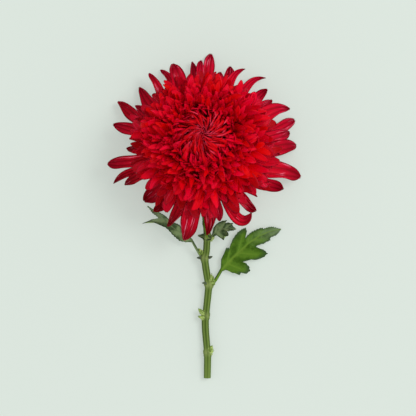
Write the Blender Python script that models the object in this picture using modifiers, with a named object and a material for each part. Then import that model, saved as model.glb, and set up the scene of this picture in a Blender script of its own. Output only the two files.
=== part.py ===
"""A cut red chrysanthemum, lying on a flat surface.

Metres, +Z up, and the surface is z = 0. The flower head looks up from the surface and leans
towards +Y. Behind the head the stem bends over and lies along -Y, down to its cut end.
Every floret, leaf, bud and stipule is a solid of its own, set 0.3 mm from what carries it.
"""

from math import cos, pi, radians, sin, tan

import bmesh
import bpy
from mathutils import Euler, Matrix, Vector

MM = 0.001
GAP = 0.3 * MM

# The head: the centre of its receptacle's rim, and how far its face leans from straight up.
HEAD = Vector((-0.45, 48.4, 30.0)) * MM
LEAN = radians(13)
RIGHT = Vector((1, 0, 0))
UPPER = Vector((0, cos(LEAN), -sin(LEAN)))
FACE = Vector((0, sin(LEAN), cos(LEAN)))

# The receptacle is a low dome above its rim and a deeper bowl below it.
RECEPTACLE_RADIUS = 9.5 * MM
DOME_HEIGHT = 5.0 * MM
BOWL_DEPTH = 7.0 * MM
NECK_RADIUS = 3.1 * MM

FLORET_THICKNESS = 0.7 * MM
BRACT_THICKNESS = 0.6 * MM
LEAF_THICKNESS = 0.9 * MM

# Outer florets, anticlockwise round the head: angle of the tip in degrees, its reach from the
# head's centre and the width in mm, the sideways turn of the tip and the roll in degrees,
# how pointed the tip is from 0 to 1, and how much higher than its row it ends, in mm.
OUTER_FLORETS = (
    (0.5, 64.5, 11.0, 0, 10, 0.2, 0),
    (8, 59.5, 10.0, 0, -10, 0.1, 2),
    (16.3, 66.0, 8.5, 12, 20, 0.1, 2),
    (23.5, 64.0, 12.0, -35, 10, 0.7, 1),
    (34.5, 57.5, 8.4, 0, -15, 0.3, 0),
    (42.8, 58.0, 7.5, 5, 20, 0.2, 0),
    (49.2, 63.5, 7.0, -52, 25, 0.9, 0),
    (62, 61.0, 7.0, -55, 20, 0.9, 1),
    (70, 57.8, 8.5, 0, -10, 0.2, 0),
    (78, 53.0, 8.0, 10, 10, 0.3, 0),
    (85.8, 65.0, 8.5, -10, 0, 0.2, 0),
    (92, 60.0, 6.5, -10, 15, 0.2, 0),
    (97, 58.8, 8.2, 8, -20, 0.5, 0),
    (113, 60.3, 12.6, 12, 15, 0.3, 1),
    (119.5, 61.5, 6.5, 30, 10, 0.4, 0),
    (126.8, 63.5, 7.2, -5, 20, 0.3, 2),
    (137.8, 60.2, 12.5, -20, -10, 0.8, 0),
    (149.5, 55.5, 7.0, 0, 10, 0.3, 0),
    (155, 66.7, 9.5, 2, 20, 0.2, 0),
    (166.7, 64.8, 8.8, 5, -15, 0.3, 1),
    (181.3, 54.0, 9.0, -10, 20, 0.6, 3),
    (191.5, 67.0, 10.0, -5, 0, 0.2, 0),
    (202.3, 68.0, 6.8, 32, -20, 0.8, 1),
    (206, 61.0, 8.3, 15, 10, 0.5, 0),
    (225.3, 55.2, 11.5, 20, 20, 0.1, 2),
    (231.5, 57.5, 8.6, -22, -20, 0.3, 0),
    (245.4, 61.0, 10.2, -23, 15, 0.7, 0),
    (258, 66.5, 13.6, -14, -10, 0.6, -1),
    (273, 61.0, 11.3, -25, 15, 0.8, 0),
    (282, 53.0, 8.0, 0, -10, 0.3, 0),
    (303.8, 56, 8.5, 132, 25, 0.4, 2),
    (309.5, 57.5, 8.5, 20, 20, 0.2, 2),
    (316.5, 51.0, 4.5, 5, -10, 0.4, 3),
    (333.3, 61.8, 9.2, 24, 30, 0.2, 2),
    (342.4, 70.5, 15.0, -10, -10, 0.6, 1),
    (354, 53.0, 6.5, 0, 15, 0.3, 0),
)
# The two rows that they alternate between. Angles in degrees: where the roots sit on the
# receptacle, from its rim, the first root's place round it, the rise at the root and at the
# tip. The droop is how far the tip hangs below the rim's plane, in mm, and how much less it
# hangs on the side nearest the surface and on the side over the stem.
LOW_ROW = {"seat": -25, "first": -12, "rise": -20, "tip": -30, "droop": (29, 14, 5)}
HIGH_ROW = {"seat": 0, "first": -2, "rise": 10, "tip": -20, "droop": (15, 8, 0)}
ROOT_STEP = 20
FLORET_ROWS = (0.0, 0.14, 0.3, 0.47, 0.64, 0.79, 0.91, 1.0)
NEARLY_RESTING = 3.0 * MM

# The whorls inside them, from the outside to the middle: how many florets, where the roots sit
# on the receptacle and the rise there in degrees, the tip's distance from the axis and height
# in mm, the tip's rise in degrees, the floret's width in mm and its swirl in degrees.
WHORLS = (
    (19, 18, 28, 51.5, 11.0, -30, 9.5, 4),
    (18, 33, 46, 49.5, 24.0, 15, 9.0, 6),
    (17, 46, 60, 41.0, 35.0, 80, 8.0, 9),
    (15, 58, 70, 29.0, 42.5, 130, 7.5, 12),
    (12, 69, 78, 16.5, 47.0, 155, 6.5, 18),
    (9, 79, 84, 7.0, 48.5, 165, 5.0, 26),
)
# The green bracts that hold the head from below, in the same terms.
BRACTS = (13, -60, -50, 13.5, -8.6, 12, 4.0, 0)
CROWN_ROWS = (0.0, 0.07, 0.3, 0.55, 0.78, 0.93, 1.0)
COLLAR = 0.07
HEART_RADIUS = 3.6 * MM
HEART_TOP = 46.0 * MM

# The stem's line from under the head to the cut end: where each point is from the head's centre
# and above the surface, and the stem's radius there, in mm. Leaves grew at the thicker points.
STEM_LINE = (
    (0.0, -3.6, 16.5, 2.5),
    (0.0, -9.5, 10.8, 2.4),
    (0.2, -20.0, 8.4, 2.3),
    (0.8, -40.0, 7.4, 2.3),
    (2.1, -60.0, 6.6, 2.3),
    (2.3, -63.5, 6.3, 2.8),
    (2.1, -66.5, 6.0, 2.3),
    (1.5, -74.0, 5.4, 2.3),
    (0.5, -77.7, 5.1, 2.8),
    (0.8, -81.0, 4.8, 2.4),
    (2.6, -92.5, 4.1, 2.4),
    (3.4, -96.5, 3.8, 2.8),
    (3.1, -100.0, 3.6, 2.4),
    (1.6, -114.5, 3.3, 2.3),
    (1.2, -118.2, 3.3, 2.7),
    (0.9, -121.5, 3.1, 2.4),
    (2.1, -140.3, 3.0, 2.3),
    (2.5, -143.8, 3.0, 2.7),
    (2.5, -147.2, 2.8, 2.4),
    (2.3, -161.7, 2.4, 2.3),
)
NODE_1, NODE_2, NODE_3, NODE_4, NODE_5 = 5, 8, 11, 14, 17

# Leaves: name, the node that each grows from and the side of it, the heading from +X, the rise
# and the roll in degrees, and the outline in mm, with +x along the leaf from its foot at (0, 0).
ON_RIGHT, ON_LEFT, ON_TOP = Vector((1, 0, 0)), Vector((-1, 0, 0)), Vector((0, 0, 1))
STIPULE = ((0, 0), (1.3, -0.8), (2.6, 0), (1.3, 0.7))
LEAVES = (
    ("leaf_right", NODE_3, ON_RIGHT, 39, -2, 0, (
        (0, 0), (4.4, 0.3), (12.5, 3.4), (15.5, -0.9), (19, -6.2), (26.8, -8.8), (27.7, -3.4),
        (26.5, -0.9), (34.4, -4.9), (43.4, -7.6), (43, -2), (40.7, 1.6), (47.5, -0.1), (52.2, -0.5),
        (61.4, 0), (57.6, 5.5), (52, 9), (38.8, 11.6), (43.2, 16.2), (26.7, 12.4), (23.9, 13.8),
        (16.3, 9.5), (12.3, 5.6), (4, 2),
    )),
    ("leaf_left", NODE_2, ON_LEFT, 136, 3, -30, (
        (0, 0), (5, -2.4), (13.2, -5.4), (16.6, -6.5), (27.5, -8.5), (34.4, -5.5), (43.9, -3.3),
        (52, 0.3), (40.5, 0), (42.7, 4.5), (46.2, 11.5), (37, 3), (32.8, 1.6), (25.3, 1.8),
        (19.3, 1.8), (14.9, -1.5), (12.8, -3.6), (4.6, -1),
    )),
    ("leaf_upper", NODE_1, ON_RIGHT, 22, 5, 10, (
        (0, 0), (2.9, 0), (4.1, 0), (6, -2.4), (7.5, -4.6), (10.4, -5.4), (13, -4), (12.8, -1.4),
        (11.9, 0.2), (16.5, -1.2), (18.7, -1.3), (17.3, 2.7), (18.5, 3.7), (15.3, 5.4),
        (13.3, 5.9), (15.5, 7.4), (10.1, 8.2), (8, 7.8), (4.4, 5.9), (2, 2.1),
    )),
    ("leaf_neck", NODE_1, ON_TOP, 100.6, 8, 0, (
        (0, 0), (5, -1), (11, -1.6), (16.9, 0), (11, 1.6), (5, 1),
    )),
    ("leaflet", NODE_1, ON_LEFT, 150, 5, 0, ((0, 0), (1.6, -1), (3.8, 0), (1.8, 1.1))),
    ("stipule_1", NODE_2, ON_LEFT, 215, 10, 0, STIPULE),
    ("stipule_2", NODE_2, ON_RIGHT, 25, 10, 0, STIPULE),
    ("stipule_3", NODE_3, ON_TOP, 178, 10, 0, STIPULE),
)
# Buds in the angles of the leaves and at the scars of leaves that are gone: the middle, from the
# head's centre and above the surface, the heading in degrees, the length and the width, in mm.
BUDS = (
    (6.6, -64.6, 6.3, -25, 3.0, 2.2),
    (-2.8, -72.6, 5.3, 115, 2.8, 1.8),
    (6.3, -91.6, 4.0, 95, 3.4, 1.8),
    (-2.8, -118.0, 3.3, 110, 4.4, 2.2),
    (6.5, -143.3, 3.0, 75, 4.0, 2.2),
)


def head_point(azimuth, radius, height):
    """A point by its angle round the head's axis, its distance from it and its height along it."""
    return HEAD + (RIGHT * cos(azimuth) + UPPER * sin(azimuth)) * radius + FACE * height


def from_head(x, y, z):
    """A point given in mm from the head's centre, with its height above the surface."""
    return Vector((HEAD.x + x * MM, HEAD.y + y * MM, z * MM))


def seat_on_receptacle(seat):
    """Distance from the axis and height, GAP off the receptacle's skin, at an angle from its rim."""
    depth = DOME_HEIGHT if seat >= 0 else BOWL_DEPTH
    return (RECEPTACLE_RADIUS + GAP) * cos(seat), (depth + GAP) * sin(seat)


def bezier(line, t):
    a, b, c, d = line
    s = 1 - t
    return a * s**3 + b * 3 * s * s * t + c * 3 * s * t * t + d * t**3


def heading_on(line, t):
    return (bezier(line, min(1, t + 0.01)) - bezier(line, max(0, t - 0.01))).normalized()


def smooth(low, high, t):
    t = min(1, max(0, (t - low) / (high - low)))
    return t * t * (3 - 2 * t)


def half_width(t, width, taper):
    """Half of a floret's width: a narrow claw, a broad blade, and a blunt or a pointed tip."""
    blade = 0.2 + 0.8 * smooth(0.05, 0.62, t)
    start = 0.78 - 0.28 * taper
    left = 1 - max(0, (t - start) / (1 - start)) ** (2.6 - 1.2 * taper)
    return width / 2 * blade * max(0.28 - 0.16 * taper, left ** (0.5 + 0.2 * taper))


def material(name, colour, roughness):
    made = bpy.data.materials.new(name)
    made.use_nodes = True
    shader = made.node_tree.nodes["Principled BSDF"]
    shader.inputs["Base Color"].default_value = (*colour, 1)
    shader.inputs["Roughness"].default_value = roughness
    shader.inputs["Metallic"].default_value = 0
    return made


def add_object(name, data, finish):
    obj = bpy.data.objects.new(name, data)
    data.materials.append(finish)
    FLOWER.objects.link(obj)
    return obj


def add_sheet(name, sheet, thickness, finish):
    """An object from an open bmesh sheet, thickened on the side that its faces look to."""
    mesh = bpy.data.meshes.new(name)
    sheet.to_mesh(mesh)
    sheet.free()
    solidify = add_object(name, mesh, finish).modifiers.new("Thickness", "SOLIDIFY")
    solidify.thickness = thickness
    solidify.offset = 1


def outer_floret_line(floret, row, root_azimuth):
    """The Bezier handles of an outer floret's middle line, from its root to its tip."""
    angle, reach, _, tip_turn, _, _, lift = floret
    root = head_point(root_azimuth, *seat_on_receptacle(radians(row["seat"])))
    angle = radians(angle)
    droop, less_low, less_high = row["droop"]
    droop -= less_low * max(0, sin(angle)) + less_high * max(0, -sin(angle))
    rim_height = HEAD.z / MM - reach * sin(angle) * tan(LEAN)
    tip = from_head(reach * cos(angle), reach * sin(angle), max(0.5, rim_height - droop + lift))
    chord = (tip - root).length
    leaving = head_point(root_azimuth, cos(radians(row["rise"])), sin(radians(row["rise"]))) - HEAD
    turned = angle + radians(tip_turn)
    arriving = Vector((cos(turned), sin(turned), tan(radians(row["tip"])))).normalized()
    hook = max(0, abs(tip_turn) - 60)
    first, last = 0.42 - 0.0008 * hook, 0.28 + 0.0027 * hook
    return root, root + leaving * first * chord, tip - arriving * last * chord, tip


def frames_along(line, roll):
    """The point, side and normal at each row, as upright as the line allows, plus the roll."""
    frames = []
    for t in FLORET_ROWS:
        ahead = heading_on(line, t)
        upright = (FACE - ahead * FACE.dot(ahead)).normalized()
        normal = Matrix.Rotation(roll * smooth(0.2, 1, t), 3, ahead) @ upright
        frames.append((bezier(line, t), ahead.cross(normal), normal))
    return frames


def settle(sheet):
    """Swings a floret's far end to the surface if it comes near it or goes under."""
    share = {vertex: vertex.co.xy.to_3d() - HEAD.xy.to_3d() for vertex in sheet.verts}
    reach = max(offset.length for offset in share.values())
    share = {vertex: (offset.length / reach) ** 2 for vertex, offset in share.items()}
    if min(vertex.co.z for vertex in sheet.verts) < NEARLY_RESTING:
        rise = max(-vertex.co.z / share[vertex] for vertex in sheet.verts)
        for vertex in sheet.verts:
            vertex.co.z += rise * share[vertex]


def outer_floret(number, floret):
    """One strap-shaped floret of the two outer rows."""
    width, roll, taper = floret[2], floret[4], floret[5]
    row = HIGH_ROW if number % 2 else LOW_ROW
    root_azimuth = radians(row["first"] + ROOT_STEP * (number // 2))
    frames = frames_along(outer_floret_line(floret, row, root_azimuth), radians(roll))
    last = len(FLORET_ROWS) - 1
    sheet = bmesh.new()
    bmesh.ops.create_grid(sheet, x_segments=2, y_segments=last, size=1)
    for vertex in sheet.verts:
        side, row_number = round(vertex.co.x), round((vertex.co.y + 1) / 2 * last)
        t = FLORET_ROWS[row_number]
        point, across, normal = frames[row_number]
        half = half_width(t, width * MM, taper)
        channel = 0.32 * half * abs(side) * smooth(0.1, 0.5, t)
        vertex.co = point + across * half * side + normal * channel
    settle(sheet)
    add_sheet(f"outer_floret_{number + 1:02}", sheet, FLORET_THICKNESS, PETAL_RED)


def crown_line(seat, rise, tip_radius, tip_height, tip_rise):
    """The line of a crown's blades, as distance from the head's axis and height along it."""
    root = Vector(seat_on_receptacle(radians(seat)))
    tip = Vector((tip_radius, tip_height)) * MM
    chord = (tip - root).length
    leaving = Vector((cos(radians(rise)), sin(radians(rise))))
    arriving = Vector((cos(radians(tip_rise)), sin(radians(tip_rise))))
    return root, root + leaving * 0.45 * chord, tip - arriving * 0.35 * chord, tip


def crown(name, shape, first, thickness, finish):
    """A ring of blades that share a low collar where they sit on the receptacle."""
    count, seat, rise, tip_radius, tip_height, tip_rise, width, swirl = shape
    line = crown_line(seat, rise, tip_radius, tip_height, tip_rise)
    share = pi / count
    sheet = bmesh.new()

    def row_of(blade, t):
        radius, height = bezier(line, t)
        ahead = heading_on(line, t)
        half = min(0.8 * share * radius, half_width(t, width * MM, 0.45))
        middle = 2 * share * (blade + first) + radians(swirl) * t * t
        channel = 0.3 * half * smooth(COLLAR, 0.5, t)
        turn = share if t <= COLLAR else half / radius
        raised = (radius - ahead.y * channel, height + ahead.x * channel)
        places = ((-turn, raised), (0, (radius, height)), (turn, raised))
        return [sheet.verts.new(head_point(middle + side, *place)) for side, place in places]

    for blade in range(count):
        rows = [row_of(blade, t) for t in CROWN_ROWS]
        for low, high in zip(rows, rows[1:]):
            sheet.faces.new((low[1], low[0], high[0], high[1]))
            sheet.faces.new((low[2], low[1], high[1], high[2]))
    bmesh.ops.remove_doubles(sheet, verts=sheet.verts, dist=0.01 * MM)
    add_sheet(name, sheet, thickness, finish)


def turned_on_axis(name, profile, finish, steps):
    """A solid of revolution about the head's axis, from a profile of (radius, height)."""
    mesh = bpy.data.meshes.new(name)
    edges = [(i, i + 1) for i in range(len(profile) - 1)]
    mesh.from_pydata([(radius, 0, height) for radius, height in profile], edges, [])
    obj = add_object(name, mesh, finish)
    obj.location = HEAD
    obj.rotation_euler = (-LEAN, 0, 0)
    screw = obj.modifiers.new("Turn", "SCREW")
    screw.steps = screw.render_steps = steps
    screw.use_merge_vertices = True
    screw.merge_threshold = 0.00005


def receptacle():
    """The domed disc that carries the florets, narrowing below to the neck of the stem."""
    arc = [radians(angle) for angle in range(0, 90, 15)]
    dome = [(RECEPTACLE_RADIUS * cos(a), DOME_HEIGHT * sin(a)) for a in reversed(arc)]
    bowl = [(RECEPTACLE_RADIUS * cos(a), -BOWL_DEPTH * sin(a)) for a in arc[1:-1]]
    neck = [(NECK_RADIUS, -BOWL_DEPTH), (0, -BOWL_DEPTH)]
    turned_on_axis("receptacle", [(0, DOME_HEIGHT)] + dome + bowl + neck, STEM_GREEN, 20)


def heart():
    """The bud of unopened florets that closes the middle of the head."""
    foot = DOME_HEIGHT + GAP
    outline = ((0, 1), (0.45, 0.985), (0.8, 0.93), (1, 0.82), (0.85, 0.55), (0.45, 0.25), (0.2, 0), (0, 0))
    profile = [(HEART_RADIUS * r, foot + (HEART_TOP - foot) * h) for r, h in outline]
    turned_on_axis("floret_heart", profile, PETAL_RED, 10)


def stem():
    """The stem, a tube that thickens at its nodes, from the receptacle's neck to the cut end."""
    neck = HEAD - FACE * (BOWL_DEPTH + GAP)
    points = [(neck, NECK_RADIUS / MM)] + [(from_head(*place), radius) for *place, radius in STEM_LINE]
    curve = bpy.data.curves.new("stem", "CURVE")
    curve.dimensions = "3D"
    curve.bevel_depth = MM
    curve.bevel_resolution = 4
    curve.resolution_u = 3
    curve.use_fill_caps = True
    spline = curve.splines.new("BEZIER")
    spline.bezier_points.add(len(points) - 1)
    for point, (place, radius) in zip(spline.bezier_points, points):
        point.co = place
        point.radius = radius
        point.handle_left_type = point.handle_right_type = "AUTO"
    add_object("stem", curve, STEM_GREEN)


def leaf(name, node, side, heading, rise, roll, outline):
    """A leaf with its stalk, as one thin plate."""
    *place, radius = STEM_LINE[node]
    curve = bpy.data.curves.new(name, "CURVE")
    curve.dimensions = "2D"
    curve.fill_mode = "BOTH"
    curve.extrude = LEAF_THICKNESS / 2
    spline = curve.splines.new("POLY")
    spline.points.add(len(outline) - 1)
    for point, (x, y) in zip(spline.points, outline):
        point.co = (x * MM, y * MM, 0, 1)
    spline.use_cyclic_u = True
    obj = add_object(name, curve, LEAF_GREEN)
    obj.location = from_head(*place) + side * (radius * MM + GAP + abs(side.z) * LEAF_THICKNESS / 2)
    obj.rotation_euler = (radians(roll), radians(-rise), radians(heading))


def bud(name, x, y, z, heading, length, width):
    """A small egg-shaped bud."""
    ball = bmesh.new()
    bmesh.ops.create_uvsphere(ball, u_segments=10, v_segments=6, radius=0.5 * MM)
    bmesh.ops.rotate(ball, verts=ball.verts, matrix=Euler((0, pi / 2, 0)).to_matrix())
    bmesh.ops.scale(ball, verts=ball.verts, vec=(length, width, width))
    mesh = bpy.data.meshes.new(name)
    ball.to_mesh(mesh)
    ball.free()
    obj = add_object(name, mesh, BUD_GREEN)
    obj.location = from_head(x, y, z)
    obj.rotation_euler = (0, 0, radians(heading))


for old in list(bpy.data.objects):
    bpy.data.objects.remove(old)
FLOWER = bpy.data.collections.new("chrysanthemum")
bpy.context.scene.collection.children.link(FLOWER)

PETAL_RED = material("petal_red", (0.42, 0.004, 0.012), 0.5)
STEM_GREEN = material("stem_green", (0.10, 0.16, 0.05), 0.55)
LEAF_GREEN = material("leaf_green", (0.06, 0.13, 0.02), 0.55)
BUD_GREEN = material("bud_green", (0.20, 0.30, 0.08), 0.5)

receptacle()
stem()
crown("involucre_bracts", BRACTS, 0, BRACT_THICKNESS, LEAF_GREEN)
for number, floret in enumerate(OUTER_FLORETS):
    outer_floret(number, floret)
for number, shape in enumerate(WHORLS):
    crown(f"floret_whorl_{number + 1}", shape, 0.5 * (number % 2), FLORET_THICKNESS, PETAL_RED)
heart()
for spec in LEAVES:
    leaf(*spec)
for number, spec in enumerate(BUDS):
    bud(f"bud_{number + 1}", *spec)
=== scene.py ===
"""The looks of a cut red chrysanthemum, lying on a pale surface with its face up.

Metres, +Z up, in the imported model's own frame. The florets, the bracts, the stipules and the
scales of the buds are all blades: lines of points that one Geometry Nodes tree turns into
closed, channelled straps. The stem is a ribbed sweep, and the leaves are ruled sheets.
"""

from functools import partialmethod
from math import cos, pi, radians, sin, tan

import bmesh
import bpy
import numpy as np
from mathutils import Euler, Matrix, Vector


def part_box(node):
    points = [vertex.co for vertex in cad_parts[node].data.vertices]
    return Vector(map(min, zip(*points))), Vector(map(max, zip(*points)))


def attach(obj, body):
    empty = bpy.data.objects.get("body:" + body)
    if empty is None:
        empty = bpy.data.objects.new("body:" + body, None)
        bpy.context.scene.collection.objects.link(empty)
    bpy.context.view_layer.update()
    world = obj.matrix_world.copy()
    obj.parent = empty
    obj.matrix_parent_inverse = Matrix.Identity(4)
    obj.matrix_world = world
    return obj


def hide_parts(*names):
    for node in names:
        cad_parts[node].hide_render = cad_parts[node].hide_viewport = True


MM = 0.001

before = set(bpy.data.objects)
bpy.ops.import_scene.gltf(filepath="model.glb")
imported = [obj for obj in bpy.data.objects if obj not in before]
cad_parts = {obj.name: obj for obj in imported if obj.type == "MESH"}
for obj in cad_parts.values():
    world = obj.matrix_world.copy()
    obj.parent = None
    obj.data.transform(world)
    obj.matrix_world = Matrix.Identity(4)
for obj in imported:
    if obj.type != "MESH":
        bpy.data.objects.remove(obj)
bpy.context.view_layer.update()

# The head leans from straight up. Its receptacle is a dome on a bowl, and HEAD is the centre of
# the rim between them.
LEAN = radians(13)
RIGHT = Vector((1, 0, 0))
UPPER = Vector((0, cos(LEAN), -sin(LEAN)))
FACE = Vector((0, sin(LEAN), cos(LEAN)))
RECEPTACLE_RADIUS = 9.5 * MM
DOME_HEIGHT = 5.0 * MM
BOWL_DEPTH = 7.0 * MM
NECK_RADIUS = 3.1 * MM
RECEPTACLE_SIDES = 48
LOW_CORNER, HIGH_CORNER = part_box("receptacle")
HEAD = (LOW_CORNER + HIGH_CORNER) / 2 + FACE * (BOWL_DEPTH - DOME_HEIGHT) / 2
GOLDEN_ANGLE = radians(137.508)
GOLDEN_SHARE = 0.618


# ---- node trees


class Flow:
    """One output of a node. Arithmetic on it places the node that works the result out."""

    def __init__(self, socket):
        self.socket = socket

    def maths(self, operation, *others):
        kind = "ShaderNodeVectorMath" if self.socket.type == "VECTOR" else "ShaderNodeMath"
        inputs = dict(enumerate((self, *others)))
        return place(self.socket.id_data, kind, inputs, operation=operation)

    __add__ = partialmethod(maths, "ADD")
    __sub__ = partialmethod(maths, "SUBTRACT")
    __truediv__ = partialmethod(maths, "DIVIDE")
    __pow__ = partialmethod(maths, "POWER")
    __abs__ = partialmethod(maths, "ABSOLUTE")
    __gt__ = partialmethod(maths, "GREATER_THAN")

    def __rsub__(self, other):
        return self * -1 + other

    def __mul__(self, other):
        if self.socket.type == "VECTOR":
            inputs = {"Vector": self, "Scale": other}
            return place(self.socket.id_data, "ShaderNodeVectorMath", inputs, operation="SCALE")
        return self.maths("MULTIPLY", other)


def plug(socket, value):
    """Links a flow into a socket, or sets the socket's own value."""
    if isinstance(value, Flow):
        socket.id_data.links.new(value.socket, socket)
    else:
        socket.default_value = value


def place(tree, kind, inputs=None, out=0, **settings):
    """Adds a node and gives one of its outputs. Any that isn't a shader node is a geometry one."""
    node = tree.nodes.new(kind if "Shader" in kind else "GeometryNode" + kind)
    for name, value in settings.items():
        setattr(node, name, value)
    for key, value in (inputs or {}).items():
        plug(node.inputs[key], value)
    return Flow(node.outputs[out])


def ramp(value, low, high):
    """Goes smoothly from 0 to 1 as the value goes from low to high."""
    inputs = {"Value": value, "From Min": low, "From Max": high}
    tree = value.socket.id_data
    return place(tree, "ShaderNodeMapRange", inputs, interpolation_type="SMOOTHSTEP")


def vector(tree, x, y, z):
    return place(tree, "ShaderNodeCombineXYZ", {"X": x, "Y": y, "Z": z})


def geometry_tree(name, inputs):
    """A tree of Geometry Nodes, and its inputs, given as {name: kind}, as flows."""
    tree = bpy.data.node_groups.new(name, "GeometryNodeTree")
    tree.interface.new_socket("Geometry", in_out="OUTPUT", socket_type="NodeSocketGeometry")
    for key, kind in {"Geometry": "Geometry", "Finish": "Material", **inputs}.items():
        tree.interface.new_socket(key, in_out="INPUT", socket_type="NodeSocket" + kind)
    entry = tree.nodes.new("NodeGroupInput")
    return tree, {socket.name: Flow(socket) for socket in entry.outputs if socket.name}


def step(geometry, kind, inputs=None, **settings):
    """Passes the geometry through a node."""
    return place(geometry.socket.id_data, kind, {0: geometry, **(inputs or {})}, **settings)


def keep(geometry, name, value, domain="POINT", kind="FLOAT"):
    """Stores a named attribute on the geometry."""
    inputs = {"Name": name, "Value": value}
    return step(geometry, "StoreNamedAttribute", inputs, data_type=kind, domain=domain)


def kept(tree, name, kind="FLOAT"):
    return place(tree, "InputNamedAttribute", {"Name": name}, data_type=kind)


def deliver(geometry, finish):
    """Ends a tree: smooth shading, the material and the output."""
    geometry = step(step(geometry, "SetShadeSmooth"), "SetMaterial", {"Material": finish})
    end = geometry.socket.id_data.nodes.new("NodeGroupOutput")
    plug(end.inputs["Geometry"], geometry)


# ---- blades

# What each point of a blade's line carries: the side that the blade spreads to, the side that it
# faces, its half width, the half angle of its channel and the blade's tone, from 0 to 1. On the
# outer florets the tone also carries painted shade, lower on the side away from the lamp.
BLADE_FIELDS = (
    ("across", "FLOAT_VECTOR"),
    ("face", "FLOAT_VECTOR"),
    ("half", "FLOAT"),
    ("channel", "FLOAT"),
    ("tone", "FLOAT"),
)
SAME_POINT = 0.002 * MM
# The cut of each kind of blade. Ripples of the margins and notches of the tip are shares of the
# half width.
OUTER_CUT = {
    "Columns": 11, "Thickness": 0.45 * MM, "Ripple": 0.35, "Notch": 0.3,
    "Ribs": 3.0, "Rib depth": 0.7 * MM,
}
INNER_CUT = {"Columns": 5, "Thickness": 0.4 * MM, "Ripple": 0.2, "Notch": 0.3}
BRACT_CUT = {"Columns": 5, "Thickness": 0.45 * MM}
STIPULE_CUT = {"Columns": 7, "Thickness": 0.5 * MM, "Ripple": 0.1, "Notch": 0.1}
SCALE_CUT = {"Columns": 5, "Thickness": 0.5 * MM}
OUTER_ROWS, INNER_ROWS, STIPULE_ROWS, SMALL_ROWS = 24, 13, 10, 9


def blade_tree():
    """Turns lines of points into closed blades.

    Each run of Rows points is one blade's middle line. A flat ring of columns, up one side and
    down the other, is laid on it.
    """
    floats = dict.fromkeys(("Thickness", "Ribs", "Rib depth", "Ripple", "Notch"), "Float")
    tree, given = geometry_tree("Blades", {"Rows": "Int", "Columns": "Int", **floats})
    rows = given["Rows"]

    size = {"Size X": 2, "Size Y": 1, "Vertices X": given["Columns"] * 2 - 1, "Vertices Y": rows}
    sheet = place(tree, "MeshGrid", size)
    here = {0: place(tree, "InputPosition")}
    ring = place(tree, "ShaderNodeSeparateXYZ", here) + 1
    sheet = keep(sheet, "ring", ring)
    sheet = keep(sheet, "across", abs(ring * 2 - 2) - 1)
    sheet = keep(sheet, "along", place(tree, "ShaderNodeSeparateXYZ", here, out="Y") + 0.5)
    sheet = keep(sheet, "upper", ring > 1, domain="FACE")

    count = step(given["Geometry"], "AttributeDomainSize") / rows
    starts = place(tree, "MeshLine", {"Count": count})
    blades = step(starts, "InstanceOnPoints", {"Instance": sheet})
    index = place(tree, "InputIndex")
    blades = keep(blades, "blade", index, domain="INSTANCE", kind="INT")
    blades = step(blades, "RealizeInstances")

    along, x = kept(tree, "along"), kept(tree, "across")
    row = (kept(tree, "blade", "INT") * rows + along * (rows - 1)).maths("ROUND")

    def carried(value, kind):
        inputs = {"Value": value, "Index": row}
        return step(given["Geometry"], "SampleIndex", inputs, data_type=kind)

    middle = carried(place(tree, "InputPosition"), "FLOAT_VECTOR")
    across, face, half, channel, tone = (
        carried(kept(tree, name, kind), kind) for name, kind in BLADE_FIELDS
    )
    blades = keep(blades, "tone", tone)

    # The columns lie on an arc, the channel's section.
    turn = channel * x
    sine, cosine = turn.maths("SINE"), turn.maths("COSINE")
    radius = half / channel
    normal = face * cosine - across * sine
    # The two skins meet at the margins and at both ends.
    inner = 1 - x * x
    ends = 1 - abs(along * 2 - 1) ** 6
    side = (kept(tree, "ring") > 1) * 2 - 1
    skin = inner.maths("SQRT") * ends * side * given["Thickness"] * 0.5
    ribs = (x * given["Ribs"] * pi).maths("COSINE") * inner * given["Rib depth"]
    ribs = ribs * ramp(along, 0.1, 0.5)
    # The margins ripple out of step, and the tip is notched, each blade's by its own tone.
    wave = (along * 9 + tone * 40 + (x > 0) * 2.3).maths("SINE")
    ripple = wave * x * x * given["Ripple"] * half * ramp(along, 0.3, 0.8)
    teeth = (x * 7.5 + tone * 30).maths("SINE") * given["Notch"] * half * ramp(along, 0.9, 1.0)
    ahead = face.maths("CROSS_PRODUCT", across)
    spot = middle + across * (radius * sine) + face * (radius * (1 - cosine))
    spot = spot + normal * (skin + ribs + ripple) + ahead * teeth

    blades = step(blades, "SetPosition", {"Position": spot})
    blades = step(blades, "MergeByDistance", {"Distance": SAME_POINT})
    for name in ("ring", "blade"):
        blades = step(blades, "RemoveAttribute", {"Name": name})
    deliver(blades, given["Finish"])
    return tree


def add_object(name, data):
    obj = bpy.data.objects.new(name, data)
    bpy.context.scene.collection.objects.link(obj)
    return obj


def with_nodes(obj, tree, values):
    """Runs a tree on the object and gives the plain mesh object that it makes."""
    modifier = obj.modifiers.new("Nodes", "NODES")
    modifier.node_group = tree
    for socket in tree.interface.items_tree:
        if socket.in_out == "INPUT" and socket.name in values:
            modifier[socket.identifier] = values[socket.name]
    graph = bpy.context.evaluated_depsgraph_get()
    mesh = bpy.data.meshes.new_from_object(obj.evaluated_get(graph))
    name = obj.name
    bpy.data.objects.remove(obj)
    return add_object(name, mesh)


def carry(mesh, name, values, kind="FLOAT", domain="POINT"):
    """Writes an attribute's values onto a mesh."""
    part = "vector" if kind == "FLOAT_VECTOR" else "value"
    values = np.ravel(values).astype(np.float32)
    mesh.attributes.new(name, kind, domain).data.foreach_set(part, values)


def smooth(low, high, t):
    """Goes smoothly from 0 to 1 as t goes from low to high."""
    t = np.clip((t - low) / (high - low), 0, 1)
    return t * t * (3 - 2 * t)


def unit(vectors):
    return vectors / np.linalg.norm(vectors, axis=-1, keepdims=True)


def dot(a, b):
    return (a * b).sum(axis=-1, keepdims=True)


def rows_along(count):
    """The places of a blade's rows, closer together towards its tip."""
    return 1 - (1 - np.linspace(0, 1, count)) ** 1.35


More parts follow.
